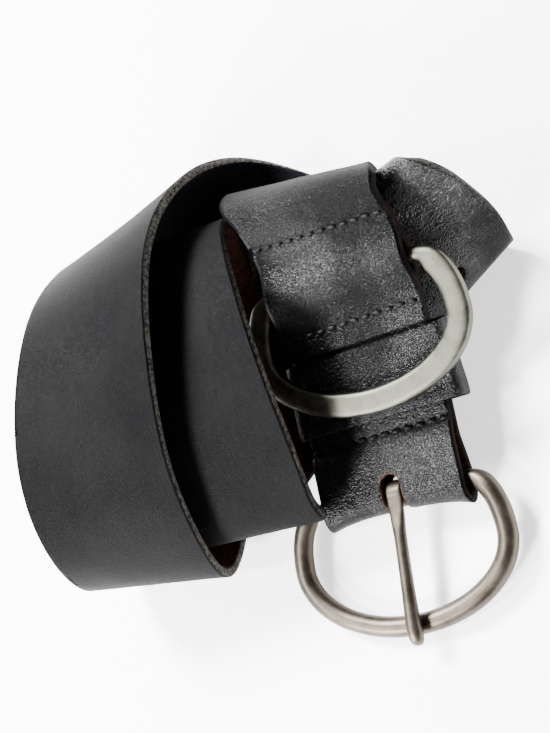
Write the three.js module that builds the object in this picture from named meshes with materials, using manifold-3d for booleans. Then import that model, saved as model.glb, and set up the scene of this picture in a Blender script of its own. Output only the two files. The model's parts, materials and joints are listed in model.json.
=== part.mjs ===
// Loosely rolled leather belt with a D-ring and a prong buckle, lying on the floor.
// Millimetres, +Z up. The buckle end points towards -Y.
import * as THREE from "three";
import { mergeVertices } from "three/addons/utils/BufferGeometryUtils.js";
import ManifoldModule from "manifold-3d";

// Leather
const STRAP_WIDTH = 50;
const STRAP_THICKNESS = 2.8;
const TAB_WIDTH = 48;
const TAB_THICKNESS = 2.4;
const KEEPER_THICKNESS = 1.6;

// Positions along the strap's route, measured from its first row
const FOLD_CENTRE = 5.4;
const SLOT_END = 11.4;
const KEEPER_START = 27.9;
const KEEPER_END = 51.2;
const STRAP_START = 52.1;
const RING_BAR = 72.4;
const TAB_START = 90;
const TAB_END = 50;
const CREST_END = 104;

// The welt over the D-ring's bar
const WELT_RISE = 2.7;
const WELT_REACH = 11;

// Strap tip and prong holes
const TIP_LENGTH = 26;
const TIP_HALF_WIDTH = 7;
const HOLE_RADIUS = 2.25;
const HOLE_SIDES = 12;
const LAST_HOLE = 786.5;
const HOLE_SPACING = 27;
const HOLE_COUNT = 4;
const HOLE_ACROSS = 6;
const TIP_STEPS = 8;

// The route of the strap's middle surface, from the buckle's fold to the tip:
// x, y, z, then the yaw and pitch in degrees of the line straight across the strap.
const ROUTE = [
  [31.8, -42, 13, 3.5, 1],
  [29, -10, 17, 6, 1],
  [31, 16, 29.5, 4, 4],
  [31, 38, 43, 0.5, 7],
  [27.4, 47, 52.4, -4.5, 9.5],
  [23.2, 56, 46.5, -7.5, 9],
  [19.5, 62.5, 28.5, -5.5, 5],
  [19.8, 50.3, 15.6, -3, 2],
  [6, 22, 9, -4, 0],
  [-18, -12, 6.3, -4, -1],
  [-32, -32.6, 8.2, -1, -1],
  [-20, -48.6, 19.8, 5, -1],
  [-11.4, -35, 32, 9, -1],
  [-13.4, -10, 47, 10, 0],
  [-20, 21, 51.5, 8, 0],
  [-29, 46, 46.5, 6, -1],
  [-34, 57, 31, 3, -2],
  [-38, 48.5, 10.5, 0, -1],
  [-41, 27, 4.5, -1, -1],
  [-46, 0, 2.5, -1, 0],
  [-50, -25, 1.6, -1, 0],
  [-53, -46, 4, -1, -2],
  [-51, -57, 19, -1, -8],
  [-48, -49, 39, 3, -13],
  [-48, -26, 57, 6, -12],
  [-46, 7, 63.5, 5, -3],
  [-45, 40, 60, 5, 8],
  [-41, 61, 43, 11, 16],
  [-35, 70, 23, 23, 16],
  [-21.3, 64.6, 8.9, 34.9, 10.9],
  [4.1, 48.9, 2.9, 42.1, 4.2],
  [34.4, 30.2, 1.4, 44.4, -0.8],
  [53.9, 17.4, 2.6, 41.2, -2.6],
  [56.2, 20.8, 14.1, 34, 1.3],
  [53.2, 38.2, 28.7, 25.1, 10],
  [36.3, 41.9, 41.6, 15.9, 17.6],
  [31.2, 49.8, 37.3, 10.5, 18.5],
  [34.1, 49.2, 26.3, 11.8, 13.5],
  [39.8, 38.3, 18.7, 18.8, 6.1],
  [45.6, 25, 15.1, 27.9, -1.9],
];
const SAMPLES_PER_ROW = 40;
const LAYER_STEP = 1.5;
const LONGEST_STEP = 6.5;
const SHARPEST_TURN = 0.12;
const SHORTEST_STEP = 0.6;
const SCAN_STEP = 0.5;

// The tab's middle line from under the strap, round the fold and back under itself:
// position along the route, then height from the strap's middle surface.
const TAB_UPPER_HEIGHT = -2.9;
const TAB_DIP = -5.1;
const TAB_DIP_REACH = 12;
const TAB_LOWER_HEIGHT = -5.6;
const TAB_FRONT_HEIGHT = -1.4;
const TAB_LEVEL_FROM = 25;
const TAB_LEVEL_TO = 17;
const TAB_CONVERGE = 20;
const FOLD_RADIUS = 4.1;
const FOLD_HEIGHT = TAB_FRONT_HEIGHT - FOLD_RADIUS;
const FOLD_STEPS = 12;
const SLOT_WIDTH = 6.6;
const SLOT_ACROSS = 0.6;
const SLOT_SIDES = 16;
// Cutters start in front of the fold and reach past the leather on both sides
const SLOT_FROM = -4;
const CUT_ABOVE = 3;
const CUT_BELOW = 13;

// Keeper loop: its right side stands off the strap, further at the buckle's end
const KEEPER_HALF_WIDTH = 25.3;
const KEEPER_FLARE_START = 3.4;
const KEEPER_FLARE_END = 1;
const KEEPER_TOP = -1.4;
const KEEPER_BOTTOM = -7.1;
const KEEPER_ROUNDING = 0.9;

// Rings: outline of the wire's middle line in the ring's own plane
const D_RING = {
  barHalf: 25, sideAcross: 34.8, cornerDepth: 18, curveDepth: 20.2,
  barRadius: 2.2, wireHalfWidth: 3.7, wireHalfHeight: 2.2, plainTo: 25.9,
  flatness: 3.2,
};
const D_RING_HEIGHT = -1.35;
const D_RING_ACROSS = 0.9;
const D_RING_TILT = -15.4;
const D_RING_YAW = -0.5;
const BUCKLE = {
  barHalf: 26, sideAcross: 34.5, cornerDepth: 17.2, curveDepth: 22.3,
  barRadius: 2.4, wireHalfWidth: 3.2, wireHalfHeight: 3.2, plainTo: 25.4,
  flatness: 2,
};
const BUCKLE_ACROSS = -2.1;
const BUCKLE_TILT = 0;
const BUCKLE_YAW = 0;
const SECTION_SIDES = 12;
const WIRE_BLEND = 9;
const BAR_STEPS = 6;
const CORNER_STEPS = 8;
const CURVE_STEPS = 24;

// Prong, in the buckle's plane: across, forward, up from the middle of the bar
const PRONG_LOOP_INNER = 2.7;
const PRONG_LOOP_OUTER = 4.3;
const PRONG_ROOT_WIDTH = 5;
const PRONG_ACROSS = 2.7;
const PRONG_TIP_ACROSS = 1.4;
const PRONG_TIP_FORWARD = 44;

const radians = THREE.MathUtils.degToRad;

function vector(x, y, z) {
  return new THREE.Vector3(x, y, z);
}

// One value of the uniform cubic B-spline through the route's rows, and its rate of change
function routeRow(index) {
  const last = ROUTE.length - 1;
  if (index < 0) return ROUTE[0].map((value, k) => 2 * value - ROUTE[1][k]);
  if (index > last) return ROUTE[last].map((value, k) => 2 * value - ROUTE[last - 1][k]);
  return ROUTE[index];
}

function routeAt(position) {
  const row = Math.min(Math.floor(position), ROUTE.length - 2);
  const t = position - row;
  const weights = [
    (1 - t) ** 3 / 6,
    (3 * t ** 3 - 6 * t ** 2 + 4) / 6,
    (-3 * t ** 3 + 3 * t ** 2 + 3 * t + 1) / 6,
    t ** 3 / 6,
  ];
  const rates = [
    -((1 - t) ** 2) / 2,
    (3 * t ** 2 - 4 * t) / 2,
    (-3 * t ** 2 + 2 * t + 1) / 2,
    t ** 2 / 2,
  ];
  const value = [0, 0, 0, 0, 0];
  const rate = [0, 0, 0, 0, 0];
  for (let k = 0; k < 4; k += 1) {
    const source = routeRow(row - 1 + k);
    for (let c = 0; c < 5; c += 1) {
      value[c] += weights[k] * source[c];
      rate[c] += rates[k] * source[c];
    }
  }
  return { value, rate };
}

// Lengths along the route at evenly spaced spline positions
const routeLengths = [0];
for (let k = 1, before = routeAt(0).value; k <= (ROUTE.length - 1) * SAMPLES_PER_ROW; k += 1) {
  const here = routeAt(k / SAMPLES_PER_ROW).value;
  const step = Math.hypot(here[0] - before[0], here[1] - before[1], here[2] - before[2]);
  routeLengths.push(routeLengths[k - 1] + step);
  before = here;
}
const STRAP_END = routeLengths[routeLengths.length - 1];

function splinePosition(along) {
  let low = 0;
  let high = routeLengths.length - 1;
  while (high - low > 1) {
    const middle = (low + high) >> 1;
    if (routeLengths[middle] <= along) low = middle;
    else high = middle;
  }
  const share = (along - routeLengths[low]) / (routeLengths[high] - routeLengths[low]);
  return (low + share) / SAMPLES_PER_ROW;
}

// The strap's own directions at a length along it: forward runs from the buckle to the tip,
// right lies across the strap and out points away from its middle surface on the grain side.
function sheetFrame(along) {
  const inside = THREE.MathUtils.clamp(along, 0, STRAP_END);
  const { value, rate } = routeAt(splinePosition(inside));
  const yaw = radians(value[3]);
  const pitch = radians(value[4]);
  const forward = vector(rate[0], rate[1], rate[2]).normalize();
  const right = vector(
    Math.cos(pitch) * Math.cos(yaw),
    Math.cos(pitch) * Math.sin(yaw),
    Math.sin(pitch),
  );
  const out = right.clone().cross(forward);
  const stretch = 1 / out.length();
  out.normalize();
  const centre = vector(value[0], value[1], value[2]).addScaledVector(forward, along - inside);
  return { centre, forward, right, out, stretch };
}

function sheetPoint(along, across, height) {
  const frame = sheetFrame(along);
  return frame.centre
    .addScaledVector(frame.right, across * frame.stretch)
    .addScaledVector(frame.out, height);
}

// Lengths at which the strap gets a section: closer together where it turns more
function sectionLengths(from, to) {
  const lengths = [from];
  let last = sheetFrame(from);
  for (let along = from; along < to; along += SCAN_STEP) {
    const here = sheetFrame(along);
    const turned = last.out.angleTo(here.out);
    if (turned > SHARPEST_TURN || along - lengths[lengths.length - 1] > LONGEST_STEP) {
      lengths.push(along);
      last = here;
    }
  }
  if (to - lengths[lengths.length - 1] < SHORTEST_STEP) lengths.pop();
  lengths.push(to);
  return lengths;
}

// Lengths at whole steps, so that layers lying on each other turn at the same places
function steppedLengths(from, to) {
  const lengths = [from];
  const first = Math.floor(from / LAYER_STEP) + 1;
  for (let k = first; k * LAYER_STEP < to - SHORTEST_STEP / 3; k += 1) {
    if (k * LAYER_STEP > from + SHORTEST_STEP / 3) lengths.push(k * LAYER_STEP);
  }
  lengths.push(to);
  return lengths;
}

// An indexed geometry from loops of points. Each loop has the same number of points.
// Crossed splits the squares along their other diagonal, so that the faces of two twisted
// layers that lie on each other are split the same way.
function loftGeometry(loops, closed, crossed = false) {
  const sides = loops[0].length;
  const positions = loops.flat().flatMap((point) => [point.x, point.y, point.z]);
  const indices = [];
  const spans = closed ? loops.length : loops.length - 1;
  for (let i = 0; i < spans; i += 1) {
    const next = (i + 1) % loops.length;
    for (let j = 0; j < sides; j += 1) {
      const a = i * sides + j;
      const b = i * sides + ((j + 1) % sides);
      const c = next * sides + ((j + 1) % sides);
      const d = next * sides + j;
      if (crossed) indices.push(a, b, d, b, c, d);
      else indices.push(a, b, c, a, c, d);
    }
  }
  if (!closed) {
    const endStart = (loops.length - 1) * sides;
    for (let j = 1; j < sides - 1; j += 1) {
      indices.push(0, j + 1, j);
      indices.push(endStart, endStart + j, endStart + j + 1);
    }
  }
  const geometry = new THREE.BufferGeometry();
  geometry.setAttribute("position", new THREE.Float32BufferAttribute(positions, 3));
  geometry.setIndex(indices);
  return geometry;
}

// A share that runs smoothly from 1 at the middle to 0 at the reach
function softBump(distance, reach) {
  if (Math.abs(distance) >= reach) return 0;
  return Math.cos((Math.PI / 2) * (distance / reach)) ** 2;
}

// A share that runs smoothly from 0 to 1 between two lengths
function softStep(value, from, to) {
  const share = THREE.MathUtils.clamp((value - from) / (to - from), 0, 1);
  return (1 - Math.cos(Math.PI * share)) / 2;
}

function weltHeight(along) {
  return WELT_RISE * softBump(along - RING_BAR, WELT_REACH);
}

function strapHalfWidth(along) {
  const intoTip = (along - (STRAP_END - TIP_LENGTH)) / TIP_LENGTH;
  if (intoTip <= 0) return STRAP_WIDTH / 2;
  const rounding = Math.sqrt(Math.max(0, 1 - intoTip ** 2));
  return TIP_HALF_WIDTH + (STRAP_WIDTH / 2 - TIP_HALF_WIDTH) * rounding;
}

function strapGeometry() {
  const tipStart = STRAP_END - TIP_LENGTH;
  const lengths = [
    ...steppedLengths(STRAP_START, CREST_END),
    ...sectionLengths(CREST_END + LAYER_STEP, tipStart),
  ];
  for (let k = 1; k <= TIP_STEPS; k += 1) {
    lengths.push(tipStart + TIP_LENGTH * Math.sin((Math.PI / 2) * (k / TIP_STEPS)));
  }
  const half = STRAP_THICKNESS / 2;
  return loftGeometry(lengths.map((along) => {
    const across = strapHalfWidth(along);
    const middle = weltHeight(along);
    return [
      sheetPoint(along, -across, middle + half),
      sheetPoint(along, across, middle + half),
      sheetPoint(along, across, middle - half),
      sheetPoint(along, -across, middle - half),
    ];
  }), false);
}

// A prism through the leather with a round or long outline, for cutting holes and the slot.
// Its outline is a half circle at each end of the stretch from first to last.
function cutterGeometry(first, last, across, radius, low, high, sides) {
  const outline = [];
  for (let k = 0; k < sides; k += 1) {
    const turn = (2 * Math.PI * (k + 0.5)) / sides;
    const end = Math.sin(turn) > 0 ? last : first;
    outline.push([end + radius * Math.sin(turn), across + radius * Math.cos(turn)]);
  }
  return loftGeometry([low, high].map((height) => (
    outline.map(([along, side]) => sheetPoint(along, side, height))
  )), false);
}

// The tab's middle line: pairs of position along the route and height
function tabLine() {
  const line = [];
  for (const along of steppedLengths(FOLD_CENTRE, TAB_START).reverse()) {
    const level = THREE.MathUtils.lerp(
      TAB_FRONT_HEIGHT,
      TAB_UPPER_HEIGHT,
      softStep(along, TAB_LEVEL_TO, TAB_LEVEL_FROM),
    );
    const dip = (TAB_DIP - TAB_UPPER_HEIGHT) * softBump(along - RING_BAR, TAB_DIP_REACH);
    line.push([along, level + dip]);
  }
  for (let k = 1; k <= FOLD_STEPS; k += 1) {
    const turn = (Math.PI * k) / FOLD_STEPS;
    line.push([
      FOLD_CENTRE - FOLD_RADIUS * Math.sin(turn),
      FOLD_HEIGHT + FOLD_RADIUS * Math.cos(turn),
    ]);
  }
  const foldBottom = FOLD_HEIGHT - FOLD_RADIUS;
  for (const along of steppedLengths(FOLD_CENTRE, TAB_END).slice(1)) {
    const share = softStep(along, FOLD_CENTRE, TAB_CONVERGE);
    line.push([along, THREE.MathUtils.lerp(foldBottom, TAB_LOWER_HEIGHT, share)]);
  }
  return line;
}

function tabGeometry() {
  const line = tabLine();
  const half = TAB_THICKNESS / 2;
  const side = TAB_WIDTH / 2;
  const loops = line.map(([along, height], k) => {
    const before = line[Math.max(0, k - 1)];
    const after = line[Math.min(line.length - 1, k + 1)];
    const run = after[0] - before[0];
    const rise = after[1] - before[1];
    const size = Math.hypot(run, rise);
    const offAlong = (half * rise) / size;
    const offHeight = (-half * run) / size;
    return [
      sheetPoint(along + offAlong, side, height + offHeight),
      sheetPoint(along + offAlong, -side, height + offHeight),
      sheetPoint(along - offAlong, -side, height - offHeight),
      sheetPoint(along - offAlong, side, height - offHeight),
    ];
  });
  return loftGeometry(loops, false, true);
}

function keeperHalfWidth(along, sideSign) {
  if (sideSign < 0) return KEEPER_HALF_WIDTH;
  const share = (along - KEEPER_START) / (KEEPER_END - KEEPER_START);
  return KEEPER_HALF_WIDTH + THREE.MathUtils.lerp(KEEPER_FLARE_START, KEEPER_FLARE_END, share);
}

// The keeper: a rectangle of leather swept round the tab along a rounded outline
function keeperGeometry() {
  const alongSteps = 6;
  const cornerSteps = 4;
  const middleHeight = (KEEPER_TOP + KEEPER_BOTTOM) / 2;
  const halfHeight = (KEEPER_TOP - KEEPER_BOTTOM) / 2;
  const loops = [];
  for (const [sideSign, upSign, start] of [[1, 1, 0], [-1, 1, 90], [-1, -1, 180], [1, -1, 270]]) {
    for (let k = 0; k <= cornerSteps; k += 1) {
      const turn = radians(start + (90 * k) / cornerSteps);
      const cornerHeight = middleHeight + upSign * (halfHeight - KEEPER_ROUNDING);
      const pointAt = (along, radius) => sheetPoint(
        along,
        sideSign * (keeperHalfWidth(along, sideSign) - KEEPER_ROUNDING) + radius * Math.cos(turn),
        cornerHeight + radius * Math.sin(turn),
      );
      const loop = [];
      for (let i = 0; i <= alongSteps; i += 1) {
        const along = THREE.MathUtils.lerp(KEEPER_START, KEEPER_END, i / alongSteps);
        loop.push(pointAt(along, KEEPER_ROUNDING + KEEPER_THICKNESS));
      }
      for (let i = alongSteps; i >= 0; i -= 1) {
        const along = THREE.MathUtils.lerp(KEEPER_START, KEEPER_END, i / alongSteps);
        loop.push(pointAt(along, KEEPER_ROUNDING));
      }
      loops.push(loop);
    }
  }
  return loftGeometry(loops, true);
}

// The place of a ring: its bar's middle, and the directions across, forward (away from the
// strap) and up from its plane
function ringPlace(along, across, height, tilt, yaw) {
  const { right, out } = sheetFrame(along);
  const side = right.clone().applyAxisAngle(out, radians(yaw));
  const flatAhead = side.clone().cross(out).normalize();
  const ahead = flatAhead.clone().multiplyScalar(Math.cos(radians(tilt)));
  ahead.addScaledVector(out, -Math.sin(radians(tilt)));
  const up = ahead.clone().cross(side).normalize();
  const centre = sheetPoint(along, across, height);
  return { centre, side, ahead, up };
}

function placePoint(place, across, ahead, up) {
  return place.centre.clone()
    .addScaledVector(place.side, across)
    .addScaledVector(place.ahead, ahead)
    .addScaledVector(place.up, up);
}

// Middle line of a ring's wire: from the bar's right end round the front curve and back
function ringLine(ring) {
  const cornerAcross = ring.sideAcross - ring.barHalf;
  const line = [];
  for (let k = 0; k < CORNER_STEPS; k += 1) {
    const turn = (Math.PI / 2) * (k / CORNER_STEPS);
    line.push([
      ring.barHalf + cornerAcross * Math.sin(turn),
      ring.cornerDepth * (1 - Math.cos(turn)),
    ]);
  }
  for (let k = 0; k <= CURVE_STEPS; k += 1) {
    const turn = Math.PI * (k / CURVE_STEPS);
    line.push([
      ring.sideAcross * Math.cos(turn),
      ring.cornerDepth + ring.curveDepth * Math.sin(turn),
    ]);
  }
  for (let k = CORNER_STEPS - 1; k >= 0; k -= 1) {
    line.push([-line[k][0], line[k][1]]);
  }
  for (let k = 1; k < BAR_STEPS; k += 1) {
    line.push([ring.barHalf * (2 * (k / BAR_STEPS) - 1), 0]);
  }
  return line;
}

function ringGeometry(ring, place) {
  const line = ringLine(ring);
  const loops = line.map(([across, ahead], k) => {
    const before = line[(k + line.length - 1) % line.length];
    const after = line[(k + 1) % line.length];
    const run = after[0] - before[0];
    const rise = after[1] - before[1];
    const size = Math.hypot(run, rise);
    const onWire = softStep(Math.abs(across) + ahead, ring.plainTo, ring.plainTo + WIRE_BLEND);
    const halfWidth = THREE.MathUtils.lerp(ring.barRadius, ring.wireHalfWidth, onWire);
    const halfHeight = THREE.MathUtils.lerp(ring.barRadius, ring.wireHalfHeight, onWire);
    const power = 2 / THREE.MathUtils.lerp(2, ring.flatness, onWire);
    const loop = [];
    for (let j = 0; j < SECTION_SIDES; j += 1) {
      const turn = (2 * Math.PI * (j + 0.5)) / SECTION_SIDES;
      const sideways = Math.sign(Math.cos(turn)) * Math.abs(Math.cos(turn)) ** power;
      const upwards = Math.sign(Math.sin(turn)) * Math.abs(Math.sin(turn)) ** power;
      const outward = halfWidth * sideways;
      loop.push(placePoint(
        place,
        across + (outward * rise) / size,
        ahead - (outward * run) / size,
        halfHeight * upwards,
      ));
    }
    return loop;
  });
  return loftGeometry(loops, true);
}

// Prong sections: forward and up from the bar's middle, half-width and half-height
const PRONG_SECTIONS = [
  [0.4, 3.5, 2.5, 0.75],
  [4, 3.55, 2.45, 0.85],
  [8, 3.75, 2.25, 1.3],
  [12, 4.05, 1.95, 1.8],
  [20, 4.6, 1.95, 1.95],
  [32, 5.4, 2.15, 2.1],
  [38.5, 5.85, 2.4, 2.3],
  [42, 5.5, 2.5, 2.35],
  [44, 5, 2.2, 2.05],
  [45.1, 4.6, 1.5, 1.4],
  [45.6, 4.4, 0.7, 0.6],
];

function prongBladeGeometry(place) {
  const slope = (PRONG_TIP_ACROSS - PRONG_ACROSS) / PRONG_TIP_FORWARD;
  return loftGeometry(PRONG_SECTIONS.map(([ahead, up, halfWidth, halfHeight]) => {
    const across = PRONG_ACROSS + slope * ahead;
    const loop = [];
    for (let j = 0; j < SECTION_SIDES; j += 1) {
      const turn = (2 * Math.PI * (j + 0.5)) / SECTION_SIDES;
      loop.push(placePoint(
        place,
        across + halfWidth * Math.cos(turn),
        ahead,
        up + halfHeight * Math.sin(turn),
      ));
    }
    return loop;
  }), false);
}

function prongLoopGeometry(place) {
  const outline = new THREE.Shape();
  outline.absarc(0, 0, PRONG_LOOP_OUTER, 0, 2 * Math.PI, false);
  const bore = new THREE.Path();
  bore.absarc(0, 0, PRONG_LOOP_INNER, 0, 2 * Math.PI, true);
  outline.holes.push(bore);
  const geometry = new THREE.ExtrudeGeometry(outline, {
    depth: PRONG_ROOT_WIDTH,
    bevelEnabled: false,
    curveSegments: 24,
  });
  const basis = new THREE.Matrix4().makeBasis(place.ahead, place.up, place.side.clone().negate());
  basis.setPosition(placePoint(place, PRONG_ACROSS + PRONG_ROOT_WIDTH / 2, 0, 0));
  return geometry.applyMatrix4(basis);
}

const wasm = await ManifoldModule();
wasm.setup();

function toSolid(source) {
  const bare = source.clone();
  bare.deleteAttribute("normal");
  bare.deleteAttribute("uv");
  const merged = mergeVertices(bare, 1e-4);
  return new wasm.Manifold(new wasm.Mesh({
    numProp: 3,
    vertProperties: new Float32Array(merged.attributes.position.array),
    triVerts: new Uint32Array(merged.index.array),
  }));
}

function toGeometry(solid) {
  const mesh = solid.getMesh();
  const geometry = new THREE.BufferGeometry();
  geometry.setAttribute("position", new THREE.Float32BufferAttribute(mesh.vertProperties, 3));
  geometry.setIndex(Array.from(mesh.triVerts));
  return geometry;
}

function piece(name, geometry, color, roughness, metalness) {
  geometry.computeVertexNormals();
  const material = new THREE.MeshStandardMaterial({ color, roughness, metalness });
  const mesh = new THREE.Mesh(geometry, material);
  mesh.name = name;
  return mesh;
}

const ringBar = ringPlace(RING_BAR, D_RING_ACROSS, D_RING_HEIGHT, D_RING_TILT, D_RING_YAW);
const buckleBar = ringPlace(FOLD_CENTRE, BUCKLE_ACROSS, FOLD_HEIGHT, BUCKLE_TILT, BUCKLE_YAW);

let strapSolid = toSolid(strapGeometry());
for (let k = 0; k < HOLE_COUNT; k += 1) {
  const along = LAST_HOLE - k * HOLE_SPACING;
  const hole = cutterGeometry(along, along, HOLE_ACROSS, HOLE_RADIUS, -CUT_ABOVE, CUT_ABOVE, HOLE_SIDES);
  strapSolid = strapSolid.subtract(toSolid(hole));
}

const slotRadius = SLOT_WIDTH / 2;
const slot = cutterGeometry(
  SLOT_FROM,
  SLOT_END - slotRadius,
  SLOT_ACROSS,
  slotRadius,
  -CUT_BELOW,
  CUT_ABOVE,
  SLOT_SIDES,
);
const tabSolid = toSolid(tabGeometry()).subtract(toSolid(slot));
const prongSolid = toSolid(prongLoopGeometry(buckleBar)).add(toSolid(prongBladeGeometry(buckleBar)));

const belt = new THREE.Group();
belt.add(piece("strap", toGeometry(strapSolid), 0x141313, 0.42, 0));
belt.add(piece("buckle_tab", toGeometry(tabSolid), 0x151414, 0.42, 0));
belt.add(piece("keeper_loop", keeperGeometry(), 0x151414, 0.4, 0));
belt.add(piece("d_ring", ringGeometry(D_RING, ringBar), 0xa9a89c, 0.45, 1));
belt.add(piece("buckle_frame", ringGeometry(BUCKLE, buckleBar), 0x8a8176, 0.38, 1));
belt.add(piece("prong", toGeometry(prongSolid), 0x857c72, 0.36, 1));

// The origin is the middle of the belt's footprint
const bounds = new THREE.Box3().setFromObject(belt);
const footprint = bounds.getCenter(new THREE.Vector3()).setZ(bounds.min.z);
belt.position.copy(footprint.negate());
belt.updateMatrixWorld(true);

export default belt;
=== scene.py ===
import bpy
import json
import numpy as np
from mathutils import Matrix, Vector


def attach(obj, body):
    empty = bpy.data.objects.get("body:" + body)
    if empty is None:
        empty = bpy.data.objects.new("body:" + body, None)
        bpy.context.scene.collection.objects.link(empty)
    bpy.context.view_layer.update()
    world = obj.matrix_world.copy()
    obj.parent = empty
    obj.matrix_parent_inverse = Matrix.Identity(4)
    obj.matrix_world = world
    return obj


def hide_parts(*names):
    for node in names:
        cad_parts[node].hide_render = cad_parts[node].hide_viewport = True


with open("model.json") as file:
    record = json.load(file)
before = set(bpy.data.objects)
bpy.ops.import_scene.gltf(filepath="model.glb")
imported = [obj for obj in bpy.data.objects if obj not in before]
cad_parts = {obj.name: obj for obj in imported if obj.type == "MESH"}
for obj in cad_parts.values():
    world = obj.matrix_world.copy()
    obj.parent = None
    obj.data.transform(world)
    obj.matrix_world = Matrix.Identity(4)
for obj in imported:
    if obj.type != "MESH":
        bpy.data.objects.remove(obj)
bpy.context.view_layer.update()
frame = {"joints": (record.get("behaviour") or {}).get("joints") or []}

# Sizes, in millimetres
STRAP_WIDTH = 50.0
STRAP_THICKNESS = 2.8
TAB_WIDTH = 48.0
TAB_THICKNESS = 2.4
KEEPER_THICKNESS = 1.6
STRAP_ROUNDING = 0.75
TAB_ROUNDING = 0.7

# Positions along the strap's route, measured from its first row
FOLD_CENTRE = 5.4
SLOT_END = 11.4
KEEPER_START = 27.9
KEEPER_END = 51.2
STRAP_START = 52.1
RING_BAR = 72.4
TAB_START = 90.0
TAB_END = 50.0
LAST_HOLE = 786.5
STITCH_ROWS = (88.3, 59.1, 23.3)

# The welt over the D-ring's bar, the strap's tip, the prong holes and the stitches
WELT_RISE = 2.7
WELT_REACH = 11.0
TIP_LENGTH = 26.0
TIP_HALF_WIDTH = 7.0
HOLE_RADIUS = 2.25
HOLE_SPACING = 27.0
HOLE_COUNT = 4
HOLE_ACROSS = 6.0
STITCH_COUNT = 12
STITCH_PITCH = 4.0
STITCH_LENGTH = 3.1
STITCH_HALF_WIDTH = 0.66
STITCH_HALF_HEIGHT = 0.52
STITCH_SAG = 0.62
STITCH_LIFT = 0.12

# What a row of stitches presses into the leather, and how far that reaches
VALLEY_DEPTH = 0.22
VALLEY_REACH = 1.5
DIMPLE_DEPTH = 0.35
DIMPLE_REACH = 0.55
FLESH_SHARE = 0.3

# How uneven each piece's grain side is, and how deep the grain dips at the holes and the slot
STRAP_UNEVEN = 0.07
TAB_UNEVEN = 0.06
KEEPER_UNEVEN = 0.08
HOLE_DIP = 0.3
HOLE_DIP_REACH = 0.5
SLOT_DIP = 0.35
SLOT_DIP_REACH = 0.8

# Distances between the meshes' lines and columns, and the points on a rounded edge. A hole
# draws in the grid round it, out to HOLE_PULL times its radius, and its rim's colour reaches
# RIM_REACH. NO_RIM_NEAR stands for the distance to a rim wherever no hole is near.
STRAP_STEP = 1.4
TAB_STEP = 0.8
STITCH_STEP = 0.5
TAB_LINE_STEP = 0.5
CLOSE_TO_ENDS = np.array([0.05, 0.12, 0.25, 0.45, 0.7])
CLOSEST_LINES = 0.04
EDGE_POINTS = 6
HOLE_PULL = 2.4
RIM_REACH = 0.6
NO_RIM_NEAR = 99.0

# The rows of the spline that is the strap's middle line, from the buckle's fold to the tip:
# x, y, z, then the yaw and pitch in degrees of the line straight across the strap.
ROUTE = np.array([
    (31.8, -42, 13, 3.5, 1),
    (29, -10, 17, 6, 1),
    (31, 16, 29.5, 4, 4),
    (31, 38, 43, 0.5, 7),
    (27.4, 47, 52.4, -4.5, 9.5),
    (23.2, 56, 46.5, -7.5, 9),
    (19.5, 62.5, 28.5, -5.5, 5),
    (19.8, 50.3, 15.6, -3, 2),
    (6, 22, 9, -4, 0),
    (-18, -12, 6.3, -4, -1),
    (-32, -32.6, 8.2, -1, -1),
    (-20, -48.6, 19.8, 5, -1),
    (-11.4, -35, 32, 9, -1),
    (-13.4, -10, 47, 10, 0),
    (-20, 21, 51.5, 8, 0),
    (-29, 46, 46.5, 6, -1),
    (-34, 57, 31, 3, -2),
    (-38, 48.5, 10.5, 0, -1),
    (-41, 27, 4.5, -1, -1),
    (-46, 0, 2.5, -1, 0),
    (-50, -25, 1.6, -1, 0),
    (-53, -46, 4, -1, -2),
    (-51, -57, 19, -1, -8),
    (-48, -49, 39, 3, -13),
    (-48, -26, 57, 6, -12),
    (-46, 7, 63.5, 5, -3),
    (-45, 40, 60, 5, 8),
    (-41, 61, 43, 11, 16),
    (-35, 70, 23, 23, 16),
    (-21.3, 64.6, 8.9, 34.9, 10.9),
    (4.1, 48.9, 2.9, 42.1, 4.2),
    (34.4, 30.2, 1.4, 44.4, -0.8),
    (53.9, 17.4, 2.6, 41.2, -2.6),
    (56.2, 20.8, 14.1, 34, 1.3),
    (53.2, 38.2, 28.7, 25.1, 10),
    (36.3, 41.9, 41.6, 15.9, 17.6),
    (31.2, 49.8, 37.3, 10.5, 18.5),
    (34.1, 49.2, 26.3, 11.8, 13.5),
    (39.8, 38.3, 18.7, 18.8, 6.1),
    (45.6, 25, 15.1, 27.9, -1.9),
])
SAMPLES_PER_ROW = 40

# Heights of the tab's middle line from the strap's middle surface, and where they change
TAB_UPPER_HEIGHT = -2.9
TAB_DIP = -5.1
TAB_DIP_REACH = 12.0
TAB_LOWER_HEIGHT = -5.6
TAB_FRONT_HEIGHT = -1.4
TAB_LEVEL_FROM = 25.0
TAB_LEVEL_TO = 17.0
TAB_CONVERGE = 20.0
FOLD_RADIUS = 4.1
FOLD_HEIGHT = TAB_FRONT_HEIGHT - FOLD_RADIUS
SLOT_WIDTH = 6.6
SLOT_ACROSS = 0.6
# How far the fold's two ends reach forward, and between which positions that fades out
TAB_FLARE = 2.4
TAB_FLARE_FROM = 16
TAB_FLARE_TO = 3

# The keeper's loop: its right side stands off the tab
KEEPER_HALF_WIDTH = 25.3
KEEPER_FLARE_START = 3.4
KEEPER_FLARE_END = 1.0
KEEPER_TOP = -1.4
KEEPER_BOTTOM = -7.1
KEEPER_ROUNDING = 0.9

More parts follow.
